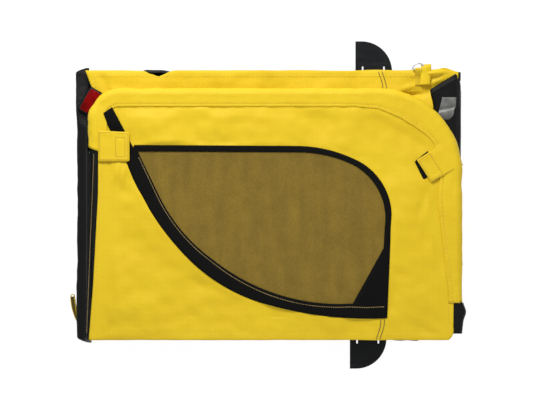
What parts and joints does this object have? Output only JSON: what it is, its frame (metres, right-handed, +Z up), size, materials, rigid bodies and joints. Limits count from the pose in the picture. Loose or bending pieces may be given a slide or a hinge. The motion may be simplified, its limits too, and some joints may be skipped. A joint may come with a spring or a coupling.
{
  "type": "pet bicycle trailer",
  "caption": "Pet bicycle trailer folded flat: square-tube base with floor and wheel deflectors, hinged cloth sides with mesh windows, axle sleeves and a drawbar socket.",
  "frame": {"origin": "on the ground at the middle of the folded trailer's bounding box", "axes": "+X to the front of the trailer, +Y to its left, +Z up"},
  "size_m": [0.7762, 0.645, 0.0988],
  "materials": {
    "frame_powder_coat": "satin black powder coat",
    "zinc_steel": "bright zinc plate",
    "hoop_tube": "clear anodised tube",
    "black_moulding": "black moulded plastic",
    "deflector_sheet": "textured black powder coat",
    "floor_ply": "dark film-faced plywood",
    "black_cloth": "black coated oxford cloth",
    "black_trim": "black binding and hook-and-loop tape",
    "yellow_cloth": "yellow coated oxford cloth",
    "yellow_webbing": "yellow webbing",
    "window_mesh": "dark open mesh",
    "red_lens": "red prismatic reflector",
    "grey_tape": "grey glass-bead reflective tape"
  },
  "bodies": {
    "base": {"right_rail": "frame_powder_coat", "left_rail": "frame_powder_coat", "rear_crossbar": "frame_powder_coat", "axle_crossbar": "frame_powder_coat", "front_crossbar": "frame_powder_coat", "rail_end_caps": "black_moulding", "axle_sleeves": "zinc_steel", "drawbar_receiver": "frame_powder_coat", "floor_board": "floor_ply", "floor_mat": "black_cloth", "right_pivot_brackets": "frame_powder_coat", "left_pivot_brackets": "frame_powder_coat", "right_pivot_pins": "zinc_steel", "left_pivot_pins": "zinc_steel", "right_skirt": "black_cloth", "left_skirt": "black_cloth", "right_deflector": "deflector_sheet", "left_deflector": "deflector_sheet", "deflector_screws": "zinc_steel", "rear_cloth": "black_cloth", "front_apron": "black_cloth", "front_corner_fold": "black_cloth", "rear_pull_loop": "yellow_webbing"},
    "right_side": {"right_leg_feet": "black_moulding", "right_hoop": "hoop_tube", "right_hoop_sleeve": "yellow_cloth", "right_rear_leg_sleeve": "black_cloth", "right_side_panel": "yellow_cloth", "right_window_trim": "black_trim", "right_window_mesh": "window_mesh", "right_loop_patches": "black_trim"},
    "left_side": {"left_leg_feet": "black_moulding", "left_hoop": "hoop_tube", "left_hoop_sleeve": "yellow_cloth", "left_rear_leg_sleeve": "black_cloth", "left_side_panel": "yellow_cloth", "left_window_trim": "black_trim", "left_window_mesh": "window_mesh", "left_loop_patches": "black_trim", "left_rear_tab": "yellow_cloth", "left_front_tab": "yellow_cloth", "roof_cloth": "yellow_cloth", "front_cloth": "black_cloth", "red_reflector": "red_lens", "grey_reflector": "grey_tape", "ring_strap": "yellow_webbing"},
    "right_rear_tab": {"right_rear_tab": "yellow_cloth"},
    "right_front_tab": {"right_front_tab": "yellow_cloth"},
    "lashing_ring": {"lashing_ring": "zinc_steel"}
  },
  "joints": [
    {"name": "right_fold", "type": "hinge", "parent": "base", "child": "right_side", "pos_m": [0, -0.24, 0.048], "axis": [1, 0, 0], "range_deg": [0, 90]},
    {"name": "left_fold", "type": "hinge", "parent": "base", "child": "left_side", "pos_m": [0, 0.24, 0.048], "axis": [-1, 0, 0], "range_deg": [0, 5.4]},
    {"name": "right_rear_tab_turn", "type": "hinge", "parent": "right_side", "child": "right_rear_tab", "pos_m": [-0.332, 0.115, 0.09755], "axis": [0, -1, 0], "range_deg": [0, 160]},
    {"name": "right_front_tab_turn", "type": "hinge", "parent": "right_side", "child": "right_front_tab", "pos_m": [0.32905, 0.08138, 0.09755], "axis": [-0.5446, 0.8387, 0], "range_deg": [0, 160]},
    {"name": "lashing_ring_swing", "type": "hinge", "parent": "left_side", "child": "lashing_ring", "pos_m": [0.294, 0.266, 0.0644], "axis": [1, 0, 0], "range_deg": [-80, 160]}
  ],
  "couplings": [
    {"joint": "left_fold", "follows": "right_fold", "ratio": 0.06}
  ]
}
